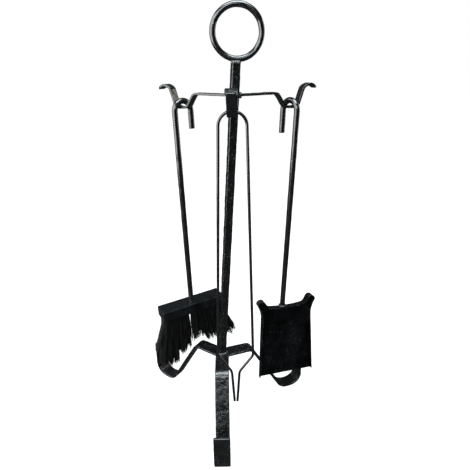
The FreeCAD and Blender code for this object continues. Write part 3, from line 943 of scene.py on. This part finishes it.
def makePanWeld():
    place = hangPlace(shovel) @ shift(-shovel["crookRadius"], 0, 0)
    drops = []
    for index in range(weldForm["panDrops"]):
        spot = heading(360 / weldForm["panDrops"] * index) * (shovel["rod"] / 2 + weldForm["panOut"])
        spot.z = -shovel["top"] + weldForm["panRise"] + chance.uniform(-0.3, 0.5)
        drops.append((place @ (spot * mm), drop(weldForm["panDrop"])))
    makeWeld("panWeld", drops, "shovel", "pan_welds")


makeHandle(shovel, "shovelHandle", "shovel_handle")
makePan()
makePanWeld()
print("shovel made")

# tongs: each half is one bent rod, from the top of the bow to its jaw
tongs = {
    "hangReach": 99.0, "rod": 4.6, "bowRadius": 19.8, "kinkHeight": 189.5, "kinkHalf": 29.8,
    "throatHeight": 155.0, "throatHalf": 6.6, "tipHeight": 89.5, "jawHalf": 2.5, "kinkBend": 12.0,
    "throatBend": 20.0, "sides": 12, "step": 3.0, "arris": 0.7, "dents": 0.15, "waves": 0.2,
}


def makeTongsHalf(side, name, node):
    bowHeading = hookForm["front"] + 90
    centre = hungCentre("front", tongs["hangReach"], bowHeading, tongs["bowRadius"], tongs["rod"])
    shoulder, radius = centre.z / mm, tongs["bowRadius"]
    outline = [(0, shoulder + radius), (radius, shoulder + radius), (radius, shoulder),
               (tongs["kinkHalf"], tongs["kinkHeight"]), (tongs["throatHalf"], tongs["throatHeight"]),
               (tongs["jawHalf"], tongs["tipHeight"])]
    points = [Vector((side * x, 0, z)) * mm for x, z in outline]
    radii = [radius * mm, 0, tongs["kinkBend"] * mm, tongs["throatBend"] * mm]
    half = roundBar(name, points, radii, tongs["rod"] * mm, sides=tongs["sides"], step=tongs["step"] * mm)
    applyPlace(half, Matrix.Translation((centre.x, centre.y, 0)) @ turnAbout(bowHeading, "Z"))
    tidyMesh(half, 60)
    tipEnd = (tongs["tipHeight"] + 0.2) * mm
    openEdit(half, "EDGE")
    pick(half, "edges", lambda edge: all(vert.co.z < tipEnd for vert in edge.verts))
    bpy.ops.mesh.bevel(offset=tongs["arris"] * mm, segments=3)
    closeEdit()
    forge(half, barWaves, tongs)
    tidyMesh(half, 50)
    setPiece(half, name, barPaint, None, [node])
    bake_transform(half)
    return half


leftHalf = makeTongsHalf(-1, "tongsLeftHalf", "tongs_left_arm")
rightHalf = makeTongsHalf(1, "tongsRightHalf", "tongs_right_arm")
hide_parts("tongs_bow")
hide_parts("tongs_bow")
print("tongs bent")

# floor, light and camera
studio = {
    "floorSize": 60.0, "floorColour": (0.3, 0.3, 0.3), "floorGlow": 1.0, "floorInSteel": 0.05,
    "floorRough": 0.9, "floorSpecular": 0.1, "floorMottle": 3.0, "floorShade": 0.985,
    "sky": 1.0, "skyFront": 0.008, "skyBack": 0.08, "skyInSteel": (0.86, 0.95, 1.0, 1),
    "skyRange": (-0.3, 0.9),
    "camera": (0.44, -638.06, 640.1), "yaw": 0.78, "pitch": 21.98, "roll": -0.69, "lens": 31.44,
    "sensor": 36,
}
# name, place, target, size, power, colour
lights = (
    ("leftSoftbox", (-1.3, -0.6, 0.9), (0, 0, 0.35), (2.3, 1.9), 58, (0.97, 1.0, 1.0)),
    ("rightSoftbox", (1.7, 0.7, 0.8), (0, 0, 0.4), (0.6, 1.4), 8, (1.0, 0.93, 0.82)),
    ("topSoftbox", (0.1, -0.35, 2.1), (0, 0, 0.2), (1.3, 1.0), 44, (0.84, 0.95, 1.0)),
    ("frontSoftbox", (-0.2, -1.7, 1.35), (0, 0, 0.1), (1.0, 0.5), 12, (0.88, 0.96, 1.0)),
)


def splitBySight(tree, felt, seen, output):
    # the steel meets one shader and the camera the other
    path = addNode(tree, "ShaderNodeLightPath")
    mix = addNode(tree, "ShaderNodeMixShader")
    tree.links.new(path.outputs["Is Camera Ray"], mix.inputs[0])
    tree.links.new(felt.outputs[0], mix.inputs[1])
    tree.links.new(seen.outputs[0], mix.inputs[2])
    tree.links.new(mix.outputs[0], output.inputs["Surface"])


def makeFloor():
    deselectAll()
    bpy.ops.mesh.primitive_plane_add(size=studio["floorSize"])
    floor = bpy.context.object
    floor.name = "studioFloor"
    material = bpy.data.materials.new("floorWhite")
    material.use_nodes = True
    tree = material.node_tree
    shader = tree.nodes["Principled BSDF"]
    coords = addNode(tree, "ShaderNodeTexCoord").outputs["Object"]
    tint = mixColours(tree, noiseNode(tree, coords, studio["floorMottle"], 2), studio["floorColour"],
                      tuple(value * studio["floorShade"] for value in studio["floorColour"]))
    tree.links.new(tint, shader.inputs["Base Color"])
    shader.inputs["Roughness"].default_value = studio["floorRough"]
    shader.inputs["Specular IOR Level"].default_value = studio["floorSpecular"]
    shader.inputs["Emission Color"].default_value = (1, 1, 1, 1)
    shader.inputs["Emission Strength"].default_value = studio["floorGlow"]
    # the steel sees a dull floor, so that black paint stays black
    dull = addNode(tree, "ShaderNodeBsdfDiffuse", {"Color": (studio["floorInSteel"],) * 3 + (1,)})
    splitBySight(tree, dull, shader, tree.nodes["Material Output"])
    floor.data.materials.append(material)


def makeLight(name, place, target, size, power, colour):
    deselectAll()
    bpy.ops.object.light_add(type="AREA", location=place)
    light = bpy.context.object
    light.name = name
    light.data.shape = "RECTANGLE"
    light.data.size, light.data.size_y = size
    light.data.energy = power
    light.data.color = colour
    light.rotation_euler = (Vector(target) - Vector(place)).to_track_quat("-Z", "Y").to_euler()


def makeSky():
    world = bpy.data.worlds.new("studioSky")
    bpy.context.scene.world = world
    world.use_nodes = True
    tree = world.node_tree
    seen = tree.nodes["Background"]
    seen.inputs["Color"].default_value = (1, 1, 1, 1)
    seen.inputs["Strength"].default_value = studio["sky"]
    # the steel sees a room that is brighter behind it than in front
    felt = addNode(tree, "ShaderNodeBackground", {"Color": studio["skyInSteel"]})
    split = addNode(tree, "ShaderNodeSeparateXYZ")
    tree.links.new(addNode(tree, "ShaderNodeTexCoord").outputs["Generated"], split.inputs[0])
    fade = addNode(tree, "ShaderNodeMapRange", {
        "From Min": studio["skyRange"][0], "From Max": studio["skyRange"][1],
        "To Min": studio["skyFront"], "To Max": studio["skyBack"]}, clamp=True)
    tree.links.new(split.outputs["Y"], fade.inputs["Value"])
    tree.links.new(fade.outputs["Result"], felt.inputs["Strength"])
    splitBySight(tree, felt, seen, tree.nodes["World Output"])


def makeCamera():
    yaw, pitch, roll = (math.radians(studio[key]) for key in ("yaw", "pitch", "roll"))
    forward = Vector((math.sin(yaw) * math.cos(pitch), math.cos(yaw) * math.cos(pitch), -math.sin(pitch)))
    right = forward.cross(upward).normalized()
    top = right.cross(forward)
    across = right * math.cos(roll) + top * math.sin(roll)
    above = top * math.cos(roll) - right * math.sin(roll)
    data = bpy.data.cameras.new("studioCamera")
    data.lens = studio["lens"]
    data.sensor_width = studio["sensor"]
    camera = bpy.data.objects.new("studioCamera", data)
    bpy.context.scene.collection.objects.link(camera)
    turn = Matrix((across, above, -forward)).transposed().to_4x4()
    camera.matrix_world = shift(*studio["camera"]) @ turn
    bpy.context.scene.camera = camera


makeFloor()
for light in lights:
    makeLight(*light)
makeSky()
makeCamera()
bpy.context.scene.view_settings.view_transform = "Standard"
print("studio set")
